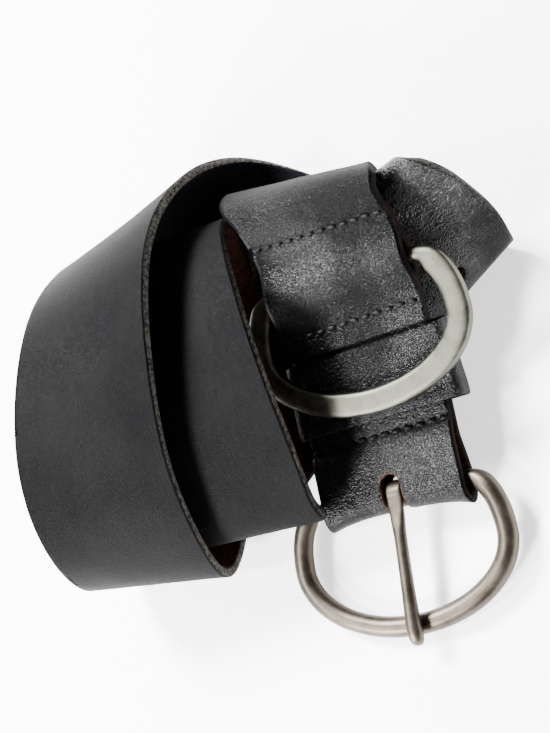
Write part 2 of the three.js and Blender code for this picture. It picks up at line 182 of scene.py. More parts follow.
# Rings: outline of the wire's middle line in the ring's own plane, and the wire's section
D_RING = dict(
    bar_half=25.0, side_across=34.8, corner_depth=18.0, curve_depth=20.2,
    bar_radius=2.2, wire_half_width=3.7, wire_half_height=2.2, plain_to=25.9, flatness=3.2)
BUCKLE = dict(
    bar_half=26.0, side_across=34.5, corner_depth=17.2, curve_depth=22.3,
    bar_radius=2.4, wire_half_width=3.2, wire_half_height=3.2, plain_to=25.4, flatness=2.0)
D_RING_PLACE = dict(along=RING_BAR, across=0.9, height=-1.35, tilt=-15.4, yaw=-0.5)
BUCKLE_PLACE = dict(along=FOLD_CENTRE, across=-2.1, height=FOLD_HEIGHT, tilt=0.0, yaw=0.0)
WIRE_BLEND = 9
CAST_DENTS = 0.012

# Prong sections: forward and up from the bar's middle, half-width and half-height
PRONG_SECTIONS = np.array([
    (0.4, 3.5, 2.5, 0.75),
    (4.0, 3.55, 2.45, 0.85),
    (8.0, 3.75, 2.25, 1.3),
    (12.0, 4.05, 1.95, 1.8),
    (20.0, 4.6, 1.95, 1.95),
    (32.0, 5.4, 2.15, 2.1),
    (38.5, 5.85, 2.4, 2.3),
    (42.0, 5.5, 2.5, 2.35),
    (44.0, 5.0, 2.2, 2.05),
    (45.1, 4.6, 1.5, 1.4),
    (45.6, 4.4, 0.7, 0.6),
])
PRONG_LOOP_INNER = 2.7
PRONG_LOOP_OUTER = 4.3
PRONG_ROOT_WIDTH = 5.0
PRONG_ACROSS = 2.7
PRONG_TIP_ACROSS = 1.4
PRONG_TIP_FORWARD = 44.0
PRONG_TOP = 6
# The prong's section is a flatter superellipse up to the one place, an ellipse past the other
PRONG_FLATNESS = 1.6
PRONG_FLAT_TO = 4
PRONG_PLAIN_FROM = 14

# Where the leather's finish changes, and where painted shade starts to darken its flesh side, as
# positions along the strap
SHINE_BUCKLE_END = (114.0, 84.0)
SHINE_FREE_END = (750.0, 800.0)
SHADED_FLESH_FROM = (540.0, 590.0)
WORN_EDGE_FROM = (210.0, 290.0)

# Pairs of colours that a noise mixes, and the colour of the holes' rims
BLACK_GRAIN = ((0.0014, 0.0014, 0.0017), (0.0034, 0.0032, 0.0034))
RED_FLESH = ((0.016, 0.0050, 0.0028), (0.050, 0.0165, 0.0095))
# Painted shade: the flesh side's near-black colour on the outer turns, standing in for the shadow
# inside the coil
SHADED_FLESH = ((0.002, 0.002, 0.003), (0.007, 0.007, 0.009))
BLACK_EDGE = ((0.0015, 0.0013, 0.0012), (0.009, 0.007, 0.006))
WORN_EDGE = ((0.006, 0.0055, 0.005), (0.075, 0.070, 0.063))
BLACK_THREAD = ((0.001, 0.001, 0.001), (0.004, 0.0037, 0.0037))
BROWN_RIM = (0.045, 0.018, 0.009)

# The camera looks at a point AIM_HEIGHT over the route's origin, from 56 degrees up. It is
# rolled 71 degrees about its line of sight.
AIM_HEIGHT = 30
VIEW_DISTANCE = 430
SENSOR_WIDTH = 36.0
PICTURE_WIDTH = 550
FOCAL_LENGTH_IN_PIXELS = 1393.2
SHIFT_IN_PIXELS = (10.0, 18.5)

# The floor's left, right, front and back edge
FLOOR_EDGES = (-1500, 1500, -1200, 1500)


def route_at(position):
    """Uniform cubic B-spline over the route's rows, with the rows next to the ends mirrored
    in the end rows. Returns the five values and their rates at each spline position."""
    rows = np.vstack([2 * ROUTE[0] - ROUTE[1], ROUTE, 2 * ROUTE[-1] - ROUTE[-2]])
    row = np.clip(np.floor(position).astype(int), 0, len(ROUTE) - 2)
    t = (position - row)[..., None]
    a, b, c, d = (rows[row + k] for k in range(4))
    value = ((1 - t) ** 3 * a + (3 * t ** 3 - 6 * t ** 2 + 4) * b
             + (-3 * t ** 3 + 3 * t ** 2 + 3 * t + 1) * c + t ** 3 * d) / 6
    rate = (-(1 - t) ** 2 * a + (3 * t ** 2 - 4 * t) * b
            + (-3 * t ** 2 + 2 * t + 1) * c + t ** 2 * d) / 2
    return value, rate


route_positions = np.linspace(0, len(ROUTE) - 1, (len(ROUTE) - 1) * SAMPLES_PER_ROW + 1)
route_centres = route_at(route_positions)[0][:, :3]
route_steps = np.linalg.norm(np.diff(route_centres, axis=0), axis=1)
route_lengths = np.concatenate([[0.0], np.cumsum(route_steps)])
STRAP_END = float(route_lengths[-1])


def unit(vectors):
    """The vectors at length 1."""
    return vectors / np.linalg.norm(vectors, axis=-1, keepdims=True)


def sheet_frame(along):
    """At lengths along the route: the middle point, the direction forward along the strap,
    the direction right across it (lengthened so that widths measured square to the strap
    come out true) and the direction out of its grain side."""
    along = np.asarray(along, float)
    inside = np.clip(along, 0, STRAP_END)
    value, rate = route_at(np.interp(inside, route_lengths, route_positions))
    yaw, pitch = np.radians(value[..., 3]), np.radians(value[..., 4])
    forward = unit(rate[..., :3])
    level = np.cos(pitch)
    right = np.stack([level * np.cos(yaw), level * np.sin(yaw), np.sin(pitch)], -1)
    out = np.cross(right, forward)
    size = np.linalg.norm(out, axis=-1, keepdims=True)
    centre = value[..., :3] + forward * (along - inside)[..., None]
    return centre, forward, right / size, out / size


def sheet_points(along, across, height):
    """Point = middle + across times the line across + height times the way out."""
    centre, _, right, out = sheet_frame(along)
    across, height = np.asarray(across), np.asarray(height)
    return centre + right * across[..., None] + out * height[..., None]


def soft_bump(distance, reach):
    """Squared cosine: 1 in the middle, 0 from the reach outwards."""
    share = np.clip(np.abs(distance) / reach, 0, 1)
    return np.cos(np.pi / 2 * share) ** 2


def soft_step(value, start, end):
    """Half a cosine wave: 0 at the start and before it, 1 at the end and past it. The end may
    be the smaller of the two."""
    share = np.clip((value - start) / (end - start), 0, 1)
    return (1 - np.cos(np.pi * share)) / 2


def waves(seed, *coordinates, count, longest, shortest):
    """Sum of plane sine waves whose directions, lengths and phases come from the seed, scaled
    to about -1 to 1."""
    chance = np.random.default_rng(seed)
    total = 0.0
    for _ in range(count):
        turns = chance.normal(size=len(coordinates))
        turns /= np.linalg.norm(turns)
        span = chance.uniform(shortest, longest)
        phase = sum(turn * axis for turn, axis in zip(turns, coordinates)) * 2 * np.pi / span
        total = total + np.sin(phase + chance.uniform(0, 2 * np.pi))
    return total / np.sqrt(2 * count)


def ring_place(along, across, height, tilt, yaw):
    """The middle of a ring's bar, and the directions across, ahead and up from its plane."""
    _, _, right, out = sheet_frame(along)
    right = unit(right)
    turn = Matrix.Rotation(np.radians(yaw), 3, Vector(out))
    side = np.array(turn @ Vector(right))
    flat_ahead = unit(np.cross(side, out))
    ahead = flat_ahead * np.cos(np.radians(tilt)) - out * np.sin(np.radians(tilt))
    up = unit(np.cross(ahead, side))
    middle = sheet_points(np.array(along), np.array(across), np.array(height))
    return middle, side, ahead, up


def plane_points(place, across, ahead, up):
    """Point = the bar's middle + across, ahead and up, each times its own direction."""
    middle, side, forward, rise = place
    return middle + side * across[..., None] + forward * ahead[..., None] + rise * up[..., None]


ring_bar = ring_place(**D_RING_PLACE)
buckle_bar = ring_place(**BUCKLE_PLACE)

# The route's own origin, measured from the frame's: the D-ring's hinge is at its bar's middle
ring_hinge = next(joint for joint in frame["joints"] if joint["name"] == "ring_hinge")
ORIGIN_SHIFT = np.array(ring_hinge["pos_m"]) * 1000 - ring_bar[0]


def to_mesh(name, points, faces, smooth=True, values=None):
    """Makes a mesh object from route points in millimetres, index arrays with one face per row,
    and named numbers for each vertex."""
    mesh = bpy.data.meshes.new(name)
    place = (points.reshape(-1, 3) + ORIGIN_SHIFT) / 1000
    corners = np.concatenate([part.ravel() for part in faces]).astype(np.int32)
    totals = np.concatenate([np.full(len(part), part.shape[1]) for part in faces]).astype(np.int32)
    starts = np.concatenate([[0], np.cumsum(totals)[:-1]]).astype(np.int32)
    mesh.vertices.add(len(place))
    mesh.vertices.foreach_set("co", place.ravel())
    mesh.loops.add(len(corners))
    mesh.loops.foreach_set("vertex_index", corners)
    mesh.polygons.add(len(totals))
    mesh.polygons.foreach_set("loop_start", starts)
    mesh.polygons.foreach_set("loop_total", totals)
    mesh.update(calc_edges=True)
    mesh.polygons.foreach_set("use_smooth", np.full(len(totals), smooth))
    for key, numbers in (values or {}).items():
        layer = mesh.attributes.new(key, "FLOAT", "POINT")
        layer.data.foreach_set("value", np.ascontiguousarray(numbers, np.float32).ravel())
    mesh.validate()
    mesh.update()
    piece = bpy.data.objects.new(name, mesh)
    bpy.context.scene.collection.objects.link(piece)
    return piece


def grid_faces(rows, sides, closed_rows=False):
    """Four-cornered faces of a grid, in the order that points outwards when each row runs
    clockwise seen from its start. Each row closes on itself, and the rows can too."""
    i = np.arange(rows if closed_rows else rows - 1)[:, None]
    j = np.arange(sides)[None, :]
    next_i = (i + 1) % rows
    next_j = (j + 1) % sides
    return np.stack([i * sides + j, i * sides + next_j, next_i * sides + next_j,
                     next_i * sides + j], -1)


def strip(name, place, lines, columns, half_width, thickness, rounding, holes, relief):
    """A strip of leather with rounded edges. Its outline at each line across it is: the grain
    side from left to right, a rounded right edge, the flesh side back, a rounded left edge.
    place maps position, across and height to space, and relief gives what is added to the
    height. A hole is given as its first and last position, its across and its radius: the
    grid's squares round it are drawn into circles, the squares inside are left out and a wall
    joins the two sides."""
    columns = np.asarray(columns, float)
    rows, width = len(lines), len(columns)
    half_columns = columns.max()
    edge_turns = np.radians(np.linspace(90, -90, EDGE_POINTS + 2)[1:-1])
    edge_out = half_columns - rounding + rounding * np.cos(edge_turns)
    flat = thickness / 2 - rounding
    edge_high = np.sign(np.sin(edge_turns)) * flat + rounding * np.sin(edge_turns)
    top = np.full(width, thickness / 2)
    inner = columns * (half_columns - rounding * 0.25) / half_columns
    across = np.concatenate([inner, edge_out, inner[::-1], -edge_out[::-1]])
    height = np.concatenate([top, edge_high, -top, edge_high[::-1]])
    on_edge = np.zeros(EDGE_POINTS)
    face = np.concatenate([np.ones(width), on_edge, -np.ones(width), on_edge])
    sides = len(across)

    span = lines[:, None] + 0 * across[None, :]
    scale = (np.asarray(half_width) / half_columns)[:, None]
    side = across[None, :] * scale
    from_end = np.minimum(lines - lines[0], lines[-1] - lines)
    inwards = np.clip(1 - from_end / rounding, 0, 1)
    squeeze = (flat + rounding * np.sqrt(1 - inwards ** 2)) / (thickness / 2)
    high = height[None, :] * squeeze[:, None]

    kept = np.ones((rows, sides), bool)
    walls = []
    quads = grid_faces(rows, sides)
    rim = np.full((rows, sides), NO_RIM_NEAR)
    face = face[None, :] + 0 * span
    on_sheet = np.abs(face) > 0.5
    opposite = 2 * width + EDGE_POINTS - 1
    for first, last, middle, radius in holes:
        beyond = lines[:, None] - np.clip(lines, first, last)[:, None]
        offset = across[None, :] - middle
        square = np.maximum(np.abs(beyond), np.abs(offset)) + 0 * span
        true = np.hypot(beyond, offset) + 1e-9
        pull = np.clip((radius * HOLE_PULL - square) / (radius * (HOLE_PULL - 1)), 0, 1)
        factor = 1 + pull * (square / true - 1)
        near = (square < radius * HOLE_PULL) & on_sheet
        span = np.where(near, np.clip(lines, first, last)[:, None] + beyond * factor, span)
        side = np.where(near, (middle + offset * factor) * scale, side)
        rim = np.where(near, np.minimum(rim, square - radius), rim)
        inside = (square < radius + 1e-3) & on_sheet
        corner_in = inside.ravel()[quads]
        gone = corner_in.all(-1)
        kept[:quads.shape[0], :] &= ~gone
        top_in = inside[:, :width]
        i_on = np.flatnonzero(top_in.any(1))
        j_on = np.flatnonzero(top_in.any(0))
        i0, i1, j0, j1 = i_on[0], i_on[-1], j_on[0], j_on[-1]
        loop = ([(i0, j) for j in range(j0, j1)] + [(i, j1) for i in range(i0, i1)]
                + [(i1, j) for j in range(j1, j0, -1)] + [(i, j0) for i in range(i1, i0, -1)])
        loop = np.array(loop)
        after = np.roll(loop, -1, 0)
        upper, upper_next = loop @ [sides, 1], after @ [sides, 1]
        lower = loop[:, 0] * sides + opposite - loop[:, 1]
        lower_next = after[:, 0] * sides + opposite - after[:, 1]
        walls.append(np.stack([upper, upper_next, lower_next, lower], -1))

    points = place(span, side, high + relief(span, side, face, rim))
    faces = [quads[kept[:quads.shape[0], :]]] + walls
    faces.append(np.arange(sides)[::-1][None, :])
    faces.append((rows - 1) * sides + np.arange(sides)[None, :])
    at_rim = np.clip(1 - rim / RIM_REACH, 0, 1)
    return to_mesh(name, points, faces, values=dict(along=span, face=face, rim=at_rim))


def lines_with(start, end, step, fine_spans, ends=True):
    """Positions a step apart, closer at both ends. A fine span is its first and last position
    and its step, and its positions take the place of the others there."""
    coarse = np.append(np.arange(start, end, step), end)
    marks = []
    for low, high, fine in fine_spans:
        coarse = coarse[(coarse < low - fine / 3) | (coarse > high + fine / 3)]
        marks.append(low + fine * np.arange(round((high - low) / fine) + 1))
    if ends:
        marks += [start + CLOSE_TO_ENDS, end - CLOSE_TO_ENDS]
    together = np.sort(np.concatenate([coarse] + marks))
    kept = np.concatenate([[True], np.diff(together) > CLOSEST_LINES])
    return together[kept]


stitch_across = (np.arange(STITCH_COUNT) - (STITCH_COUNT - 1) / 2) * STITCH_PITCH


def stitch_dents(along, across, rows):
    """A shallow valley under each row of stitches, with a deeper dimple at each needle hole.
    Both are bell curves of the distance from the row or from the nearest needle hole."""
    total = 0.0
    half_count = STITCH_COUNT // 2
    needles = (np.arange(STITCH_COUNT + 1) - half_count) * STITCH_PITCH
    nearest_index = np.round(across / STITCH_PITCH).astype(int) + half_count
    nearest = needles[np.clip(nearest_index, 0, STITCH_COUNT)]
    for row in rows:
        off = along - row
        total = total - VALLEY_DEPTH * np.exp(-(off / VALLEY_REACH) ** 2)
        spread = np.hypot(off, across - nearest)
        total = total - DIMPLE_DEPTH * np.exp(-(spread / DIMPLE_REACH) ** 2)
    return total


def welt_height(along):
    """How far the strap is raised over the D-ring's bar: a squared cosine."""
    return WELT_RISE * soft_bump(along - RING_BAR, WELT_REACH)


def strap_relief(along, across, face, rim):
    """Height added to the strap: a welt over the D-ring's bar, a slow unevenness on the grain
    side, the stitches' valleys, fainter on the flesh side, and a soft dip to each hole's rim."""
    grain = np.clip(face, 0, 1)
    flesh = np.clip(-face, 0, 1)
    uneven = STRAP_UNEVEN * waves(11, along, across, count=8, longest=42, shortest=9)
    sewn = stitch_dents(along, across, STITCH_ROWS[:2])
    dip = -HOLE_DIP * np.exp(-np.clip(rim, 0, None) / HOLE_DIP_REACH)
    on_grain = grain * (uneven + sewn)
    return welt_height(along) + on_grain - FLESH_SHARE * sewn * flesh + grain * dip


tip_start = STRAP_END - TIP_LENGTH
hole_spots = LAST_HOLE - HOLE_SPACING * np.arange(HOLE_COUNT)
hole_step = HOLE_RADIUS / 5
hole_reach = 12 * hole_step
strap_lines = lines_with(
    STRAP_START, tip_start, STRAP_STEP,
    [(spot - hole_reach, spot + hole_reach, hole_step) for spot in hole_spots]
    + [(row - 2, row + 2, STITCH_STEP) for row in STITCH_ROWS[:2]])
tip_lines = tip_start + TIP_LENGTH * np.sin(np.pi / 2 * np.linspace(0, 1, 40)[1:])
strap_lines = np.concatenate([strap_lines, tip_lines])
into_tip = np.clip((strap_lines - tip_start) / TIP_LENGTH, 0, 1)
strap_half = TIP_HALF_WIDTH + (STRAP_WIDTH / 2 - TIP_HALF_WIDTH) * np.sqrt(1 - into_tip ** 2)
strap_columns = lines_with(
    -STRAP_WIDTH / 2, STRAP_WIDTH / 2, STRAP_STEP,
    [(HOLE_ACROSS - hole_reach, HOLE_ACROSS + hole_reach, hole_step)], ends=False)
strap_piece = strip(
    "strap_leather", sheet_points, strap_lines, strap_columns, strap_half,
    STRAP_THICKNESS, STRAP_ROUNDING,
    holes=[(spot, spot, HOLE_ACROSS, HOLE_RADIUS) for spot in hole_spots], relief=strap_relief)


def tab_line():
    """The tab's middle line as position along the route and height: level under the strap
    with a dip under the D-ring's bar, half a circle round the buckle's bar, then back below."""
    upper = np.arange(TAB_START, FOLD_CENTRE, -TAB_LINE_STEP)
    level = TAB_FRONT_HEIGHT + (TAB_UPPER_HEIGHT - TAB_FRONT_HEIGHT) * soft_step(
        upper, TAB_LEVEL_TO, TAB_LEVEL_FROM)
    level = level + (TAB_DIP - TAB_UPPER_HEIGHT) * soft_bump(upper - RING_BAR, TAB_DIP_REACH)
    turn = np.linspace(0, np.pi, 29)
    fold_along = FOLD_CENTRE - FOLD_RADIUS * np.sin(turn)
    fold_height = FOLD_HEIGHT + FOLD_RADIUS * np.cos(turn)
    lower = np.arange(FOLD_CENTRE + TAB_LINE_STEP, TAB_END + 0.01, TAB_LINE_STEP)
    share = soft_step(lower, FOLD_CENTRE, TAB_CONVERGE)
    under = (FOLD_HEIGHT - FOLD_RADIUS) * (1 - share) + TAB_LOWER_HEIGHT * share
    return (np.concatenate([upper, fold_along, lower]),
            np.concatenate([level, fold_height, under]))


tab_along, tab_height = tab_line()
tab_path = np.concatenate([[0], np.cumsum(np.hypot(np.diff(tab_along), np.diff(tab_height)))])
tab_run = np.gradient(tab_along, tab_path)
tab_rise = np.gradient(tab_height, tab_path)
# The part of the line in which the position falls, down to the fold's front
upper_along = tab_along[:int(np.argmin(tab_along))]


def tab_points(path, across, height):
    """Point on the folded tab: its middle line at a length along the fold's path, moved out
    square to that line by the height, then placed on the strap's sheet. The fold's two ends
    reach forward, as the cube of the distance from the tab's middle."""
    run, rise = np.interp(path, tab_path, tab_run), np.interp(path, tab_path, tab_rise)
    size = np.hypot(run, rise)
    along = np.interp(path, tab_path, tab_along) + height * rise / size
    level = np.interp(path, tab_path, tab_height) - height * run / size
    outwards = np.abs(across / (TAB_WIDTH / 2)) ** 3
    flare = TAB_FLARE * outwards * soft_step(along, TAB_FLARE_FROM, TAB_FLARE_TO)
    return sheet_points(along - flare, -across, level)


def path_at(along):
    """Length along the tab's path of a position on its upper layer."""
    return float(np.interp(-along, -upper_along, tab_path[:len(upper_along)]))


def tab_relief(path, across, face, rim):
    """Height added to the tab's grain side: unevenness, the stitches' valley and the slot's
    softened rim."""
    grain = np.clip(face, 0, 1)
    uneven = TAB_UNEVEN * waves(23, path, across, count=8, longest=30, shortest=7)
    sewn = stitch_dents(path_at(STITCH_ROWS[2]) - path, across, (0.0,))
    dip = -SLOT_DIP * np.exp(-np.clip(rim, 0, None) / SLOT_DIP_REACH)
    return grain * (uneven + sewn + dip)


slot_radius = SLOT_WIDTH / 2
slot_first = path_at(SLOT_END - slot_radius)
fold_middle = path_at(FOLD_CENTRE)
slot_last = fold_middle + np.pi * FOLD_RADIUS + (fold_middle - slot_first)
slot_step = slot_radius / 8
slot_reach = 20 * slot_step
under_stitches = (path_at(25.5), path_at(21.0), 0.45)
tab_lines = lines_with(
    0.0, float(tab_path[-1]), TAB_STEP,
    [(slot_first - slot_reach, slot_first + slot_radius, slot_step),
     (slot_last - slot_radius, slot_last + slot_reach, slot_step), under_stitches])
tab_columns = lines_with(
    -TAB_WIDTH / 2, TAB_WIDTH / 2, TAB_STEP,
    [(-SLOT_ACROSS - slot_reach, -SLOT_ACROSS + slot_reach, slot_step)], ends=False)
tab_piece = strip(
    "tab_leather", tab_points, tab_lines, tab_columns, np.full(len(tab_lines), TAB_WIDTH / 2),
    TAB_THICKNESS, TAB_ROUNDING,
    holes=[(slot_first, slot_last, -SLOT_ACROSS, slot_radius)], relief=tab_relief)


def keeper_surface(arc_points=10, long_points=72, section_points=72, end_power=9, face_power=2.8):
    """The keeper: a band swept once round the tab. Its path is a rectangle with rounded
    corners, whose right side stands off further at the buckle's end. Its own section is a thin
    superellipse with an uneven outer face."""
    arc = np.linspace(0, 90, arc_points)
    corners = [(1, 1, 0), (-1, 1, 90), (-1, -1, 180), (1, -1, 270), (1, 1, 360)]
    path = []
    for (x, y, start), (next_x, next_y, _) in zip(corners, corners[1:]):
        path += [(x, y, start + turn) for turn in arc]
        share = np.linspace(0, 1, long_points if x != next_x else arc_points)[1:-1]
        path += [(x + (next_x - x) * part, y + (next_y - y) * part, start + 90) for part in share]
    corner_x, corner_y, turn = np.array(path).T[..., None]
    turn = np.radians(turn)
    section = np.linspace(0, 2 * np.pi, section_points + 1)[:-1][None, :]
    cosine, sine = np.cos(section), np.sin(section)
    half_long = (KEEPER_END - KEEPER_START) / 2
    forward = np.sign(cosine) * np.abs(cosine) ** (2 / end_power) * half_long
    lift = np.sign(sine) * np.abs(sine) ** (2 / face_power) * KEEPER_THICKNESS / 2
    along = (KEEPER_START + KEEPER_END) / 2 - forward + 0 * turn
    share = (along - KEEPER_START) / (KEEPER_END - KEEPER_START)
    flare = KEEPER_FLARE_START + (KEEPER_FLARE_END - KEEPER_FLARE_START) * share
    reach = KEEPER_HALF_WIDTH - KEEPER_ROUNDING
    middle_across = corner_x * reach + flare * (corner_x + 1) / 2
    middle_height = ((KEEPER_TOP + KEEPER_BOTTOM) / 2
                     + corner_y * ((KEEPER_TOP - KEEPER_BOTTOM) / 2 - KEEPER_ROUNDING))
    grain = np.clip(lift * 4, 0, 1)
    uneven = KEEPER_UNEVEN * waves(31, along, middle_across, count=8, longest=26, shortest=7)
    radius = KEEPER_ROUNDING + KEEPER_THICKNESS / 2 + lift + grain * uneven
    across = middle_across + radius * np.cos(turn)
    height = middle_height + radius * np.sin(turn)
    flat = np.abs(forward) < half_long * 0.99
    values = dict(along=along, face=np.sign(lift) * flat + 0 * along, rim=0 * along)
    quads = grid_faces(*along.shape, closed_rows=True)
    return to_mesh("keeper_leather", sheet_points(along, across, height),
                   [quads.reshape(-1, 4)], values=values)


keeper_piece = keeper_surface()


def stitch_threads(sides=12, rings=11):
    """Each stitch is a short fat thread: a superellipsoid lying across the leather, its ends
    drawn down into the needle holes as the cube of the distance from its middle."""
    u = np.linspace(0, 2 * np.pi, sides + 1)[:-1]
    v = np.linspace(-np.pi / 2, np.pi / 2, rings)
    long_part = np.sin(v)[:, None] + 0 * u[None, :]
    girth = np.sqrt(np.clip(np.cos(v), 0.001, 1))[:, None]
    along_part = girth * np.cos(u)[None, :] * STITCH_HALF_WIDTH
    sag = STITCH_SAG * np.abs(long_part) ** 3
    high_part = girth * np.sin(u)[None, :] * STITCH_HALF_HEIGHT - sag
    parts = []
    for row in STITCH_ROWS:
        chance = np.random.default_rng(int(row * 10))
        lean = chance.normal(0, 0.1, len(stitch_across))[:, None, None]
        shift = chance.normal(0, 0.07, len(stitch_across))[:, None, None]
        across = (stitch_across[:, None, None] + long_part[None] * STITCH_LENGTH / 2
                  + along_part[None] * 0.05)
        along = row + shift + along_part[None] + lean * long_part[None] * 1.2
        if row > STRAP_START:
            base = STRAP_THICKNESS / 2 + welt_height(along)
        else:
            level = np.interp(-along, -upper_along, tab_height[:len(upper_along)])
            base = level + TAB_THICKNESS / 2
        height = base + STITCH_LIFT + high_part[None] + 0 * along
        parts.append(sheet_points(along, across, height))
    points = np.concatenate(parts)
    quads = grid_faces(rings, sides).reshape(-1, 4)
    all_quads = quads[None] + (np.arange(len(points)) * rings * sides)[:, None, None]
    return to_mesh("stitches", points, [all_quads.reshape(-1, 4)])


stitch_piece = stitch_threads()


def ring_line(ring, corner_steps=24, curve_steps=96, bar_steps=40):
    """A ring's middle line: a quarter ellipse from the bar's end to the widest place, half an
    ellipse round the front, the quarter ellipse mirrored, then the straight bar."""
    reach = ring["side_across"] - ring["bar_half"]
    turn = np.linspace(0, np.pi / 2, corner_steps + 1)[:-1]
    corner = np.stack([ring["bar_half"] + reach * np.sin(turn),
                       ring["corner_depth"] * (1 - np.cos(turn))], -1)
    turn = np.linspace(0, np.pi, curve_steps + 1)
    curve = np.stack([ring["side_across"] * np.cos(turn),
                      ring["corner_depth"] + ring["curve_depth"] * np.sin(turn)], -1)
    back = corner[::-1] * [-1, 1]
    share = np.linspace(-1, 1, bar_steps + 1)[1:-1]
    bar = np.stack([ring["bar_half"] * share, 0 * share], -1)
    return np.concatenate([corner, curve, back, bar])


def ring_surface(name, ring, place, seed, sides=44):
    """A wire swept along the ring's line. Its section is a superellipse that changes from the
    round bar to the wire's own section. Small seeded waves make the cast metal uneven."""
    line = ring_line(ring)
    run = np.roll(line, -1, 0) - np.roll(line, 1, 0)
    run /= np.linalg.norm(run, axis=1, keepdims=True)
    off_bar = np.abs(line[:, 0]) + line[:, 1]
    on_wire = soft_step(off_bar, ring["plain_to"], ring["plain_to"] + WIRE_BLEND)
    half_width = ring["bar_radius"] + (ring["wire_half_width"] - ring["bar_radius"]) * on_wire
    half_height = ring["bar_radius"] + (ring["wire_half_height"] - ring["bar_radius"]) * on_wire
    power = 2 / (2 + (ring["flatness"] - 2) * on_wire)
    turn = 2 * np.pi * (np.arange(sides) + 0.5) / sides
    cosine, sine = np.cos(turn)[None, :], np.sin(turn)[None, :]
    sideways = half_width[:, None] * np.sign(cosine) * np.abs(cosine) ** power[:, None]
    upwards = half_height[:, None] * np.sign(sine) * np.abs(sine) ** power[:, None]
    across = line[:, 0, None] + sideways * run[:, 1, None]
    ahead = line[:, 1, None] - sideways * run[:, 0, None]
    dents = waves(seed, across, ahead, upwards * 2, count=9, longest=22, shortest=5)
    swell = 1 + CAST_DENTS * dents
    across = line[:, 0, None] + (across - line[:, 0, None]) * swell
    ahead = line[:, 1, None] + (ahead - line[:, 1, None]) * swell
    points = plane_points(place, across, ahead, upwards * swell)
    quads = grid_faces(len(line), sides, closed_rows=True).reshape(-1, 4)
    high = upwards / ring["wire_half_height"] + 0 * across
    return to_mesh(name, points, [quads], values=dict(high=high))


d_ring_piece = ring_surface("d_ring_metal", D_RING, ring_bar, 41)
buckle_piece = ring_surface("buckle_metal", BUCKLE, buckle_bar, 43)


def smooth_rows(rows, count, reach=5):
    """A table read at evenly spaced places from row to row, on straight lines between the
    rows, then smoothed by a short running mean with bell-shaped weights."""
    place = np.linspace(0, len(rows) - 1, count)
    table = np.stack([np.interp(place, np.arange(len(rows)), rows[:, k])
                      for k in range(rows.shape[1])], -1)
    kernel = np.hanning(2 * reach + 3)[1:-1]
    kernel /= kernel.sum()
    before = 2 * table[:1] - table[reach:0:-1]
    after = 2 * table[-1:] - table[-2:-2 - reach:-1]
    padded = np.concatenate([before, table, after])
    return np.stack([np.convolve(column, kernel, "valid") for column in padded.T], -1)


def prong_blade(count=110, sides=36):
    """The prong's shaft: sections along its table, from flat superellipses at the root to
    ellipses on the rest, slanting across the frame."""
    rows = smooth_rows(PRONG_SECTIONS, count)
    turn = 2 * np.pi * (np.arange(sides) + 0.5) / sides
    slope = (PRONG_TIP_ACROSS - PRONG_ACROSS) / PRONG_TIP_FORWARD
    ahead = rows[:, :1] + 0 * turn[None, :]
    flat = soft_step(rows[:, :1], PRONG_PLAIN_FROM, PRONG_FLAT_TO)
    power = 2 / (2 + PRONG_FLATNESS * flat)
    cosine, sine = np.cos(turn)[None, :], np.sin(turn)[None, :]
    across = (PRONG_ACROSS + slope * ahead
              + rows[:, 2:3] * np.sign(cosine) * np.abs(cosine) ** power)
    rise = rows[:, 1:2] + rows[:, 3:4] * np.sign(sine) * np.abs(sine) ** power
    points = plane_points(buckle_bar, across, ahead, rise)
    faces = [grid_faces(count, sides).reshape(-1, 4)]
    faces.append(np.arange(sides)[::-1][None, :])
    faces.append((count - 1) * sides + np.arange(sides)[None, :])
    high = rise / PRONG_TOP + 0 * across
    return to_mesh("prong_blade", points, faces, values=dict(high=high))


def prong_loop(steps=96, sides=28, face_power=0.6, edge_power=0.35):
    """The prong's loop: a superellipse, as flat and broad as a band with rounded edges, carried
    once round the bar."""
    around = np.linspace(0, 2 * np.pi, steps + 1)[:-1]
    section = 2 * np.pi * (np.arange(sides) + 0.5) / sides
    middle = (PRONG_LOOP_INNER + PRONG_LOOP_OUTER) / 2
    half = (PRONG_LOOP_OUTER - PRONG_LOOP_INNER) / 2
    cosine, sine = np.cos(section)[None, :], np.sin(section)[None, :]
    radius = middle + half * np.sign(cosine) * np.abs(cosine) ** face_power
    width = PRONG_ROOT_WIDTH / 2 * np.sign(sine) * np.abs(sine) ** edge_power
    across = PRONG_ACROSS + width + 0 * around[:, None]
    ahead = radius * np.cos(around)[:, None]
    rise = radius * np.sin(around)[:, None]
    points = plane_points(buckle_bar, across, ahead, rise)
    quads = grid_faces(steps, sides, closed_rows=True).reshape(-1, 4)
    return to_mesh("prong_loop", points, [quads], values=dict(high=rise / PRONG_TOP))


prong_piece = prong_blade()
prong_loop_piece = prong_loop()


